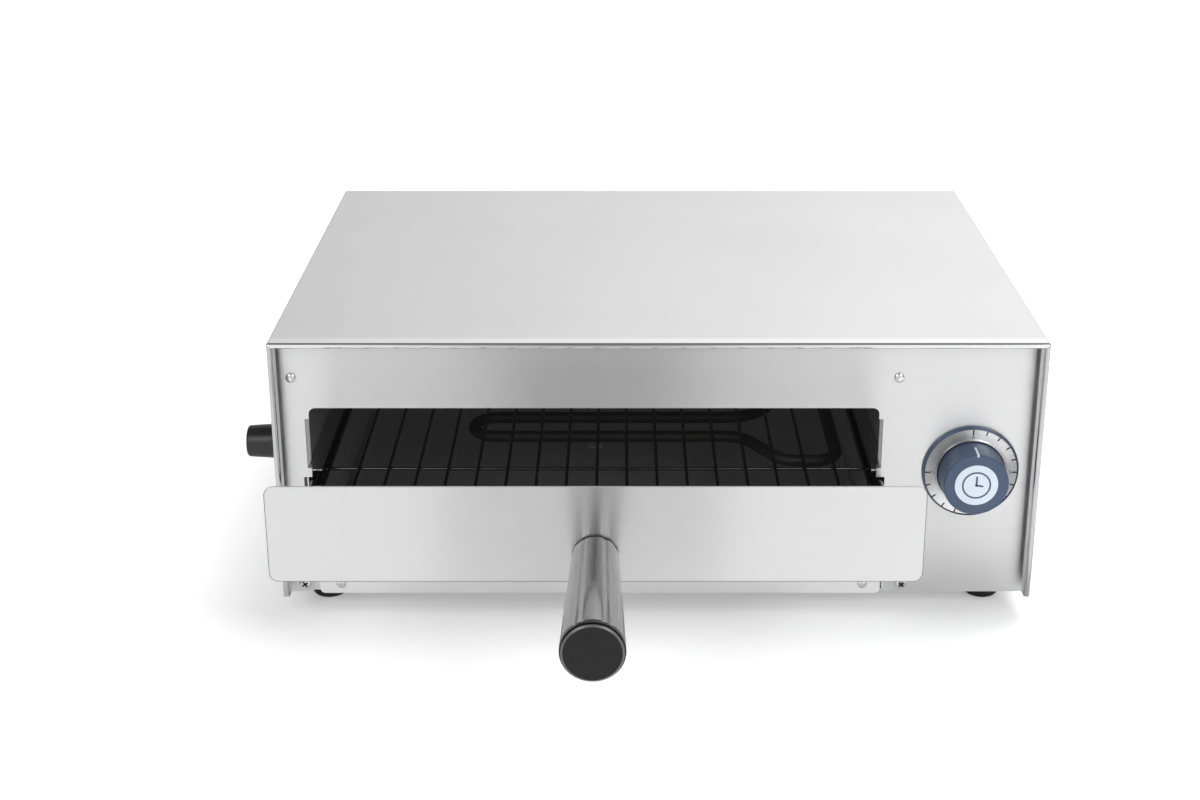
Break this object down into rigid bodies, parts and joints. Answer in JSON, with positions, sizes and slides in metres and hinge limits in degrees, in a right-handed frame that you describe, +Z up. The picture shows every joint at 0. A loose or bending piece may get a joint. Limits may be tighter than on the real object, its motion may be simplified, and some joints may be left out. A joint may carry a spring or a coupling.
{
  "type": "countertop pizza oven",
  "caption": "Low boxy steel countertop oven with a wide front slot, a pull-out wire rack on a handled door plate, a crumb tray, a round timer dial and a side selector knob.",
  "frame": {"origin": "middle of the bounding box's bottom, on the surface the feet stand on, with the rack drawn out as in the picture", "axes": "+Z up, +Y from the handle towards the back, +X to the right seen from the front"},
  "size_m": [0.4846, 0.542, 0.185],
  "materials": {
    "casing_steel": "brushed stainless steel, satin",
    "polished_steel": "polished steel",
    "liner_enamel": "dark heat-resistant enamel, semi-gloss",
    "rack_wire": "dark plated wire, darkened by heat",
    "heater_sheath": "oxidised tubular sheath, matt",
    "slate_plastic": "slate-blue moulded plastic, satin",
    "black_plastic": "black moulded plastic, semi-gloss",
    "foot_rubber": "black rubber, matt",
    "ceramic": "unglazed steatite",
    "brass": "turned brass",
    "wire_sleeve": "woven glass-fibre sleeve"
  },
  "bodies": {
    "casing": {"cover_shell": "casing_steel", "front_panel": "casing_steel", "back_panel": "casing_steel", "base_plate": "casing_steel", "dial_ring": "casing_steel", "left_rail": "polished_steel", "right_rail": "polished_steel", "panel_rivet_left": "polished_steel", "panel_rivet_right": "polished_steel", "panel_screw_left": "polished_steel", "panel_screw_right": "polished_steel", "back_screw_lower_left": "polished_steel", "back_screw_lower_right": "polished_steel", "back_screw_upper_left": "polished_steel", "back_screw_upper_right": "polished_steel", "foot_screw_front_left": "polished_steel", "foot_screw_front_right": "polished_steel", "foot_screw_back_left": "polished_steel", "foot_screw_back_right": "polished_steel", "chamber_wrap": "liner_enamel", "chamber_back": "liner_enamel", "heat_shield": "liner_enamel", "lower_heater_bracket": "liner_enamel", "upper_heater_bracket": "liner_enamel", "lower_heater": "heater_sheath", "upper_heater": "heater_sheath", "timer_bezel": "slate_plastic", "timer_body": "black_plastic", "selector_body": "black_plastic", "cable_gland": "black_plastic", "foot_front_left": "foot_rubber", "foot_front_right": "foot_rubber", "foot_back_left": "foot_rubber", "foot_back_right": "foot_rubber", "lower_bush_inner": "ceramic", "lower_bush_outer": "ceramic", "upper_bush_inner": "ceramic", "upper_bush_outer": "ceramic", "terminal_block": "ceramic", "thermal_cutout": "ceramic", "supply_wire": "wire_sleeve", "selector_wire": "wire_sleeve", "lower_heater_wire": "wire_sleeve", "upper_heater_wire": "wire_sleeve"},
    "rack": {"door_plate": "casing_steel", "wire_rack": "rack_wire", "rack_clip_left": "polished_steel", "rack_clip_right": "polished_steel", "handle_tube": "polished_steel", "handle_seat": "black_plastic", "handle_cap": "black_plastic", "handle_bolt": "polished_steel"},
    "tray": {"tray_front": "casing_steel", "tray_pan": "liner_enamel", "tray_rivet_left": "polished_steel", "tray_rivet_right": "polished_steel"},
    "timer": {"timer_knob": "slate_plastic", "timer_shaft": "brass"},
    "selector": {"selector_knob": "black_plastic"}
  },
  "joints": [
    {"name": "rack_slide", "type": "slide", "parent": "casing", "child": "rack", "axis": [0, -1, 0], "range_m": [-0.111, 0.12]},
    {"name": "tray_slide", "type": "slide", "parent": "casing", "child": "tray", "axis": [0, -1, 0], "range_m": [0, 0.25]},
    {"name": "timer_turn", "type": "hinge", "parent": "casing", "child": "timer", "pos_m": [0.20245, -0.052, 0.096], "axis": [0, 1, 0], "range_deg": [0, 270]},
    {"name": "selector_turn", "type": "hinge", "parent": "casing", "child": "selector", "pos_m": [-0.22265, -0.0423, 0.1115], "axis": [1, 0, 0], "range_deg": [0, 180]}
  ]
}
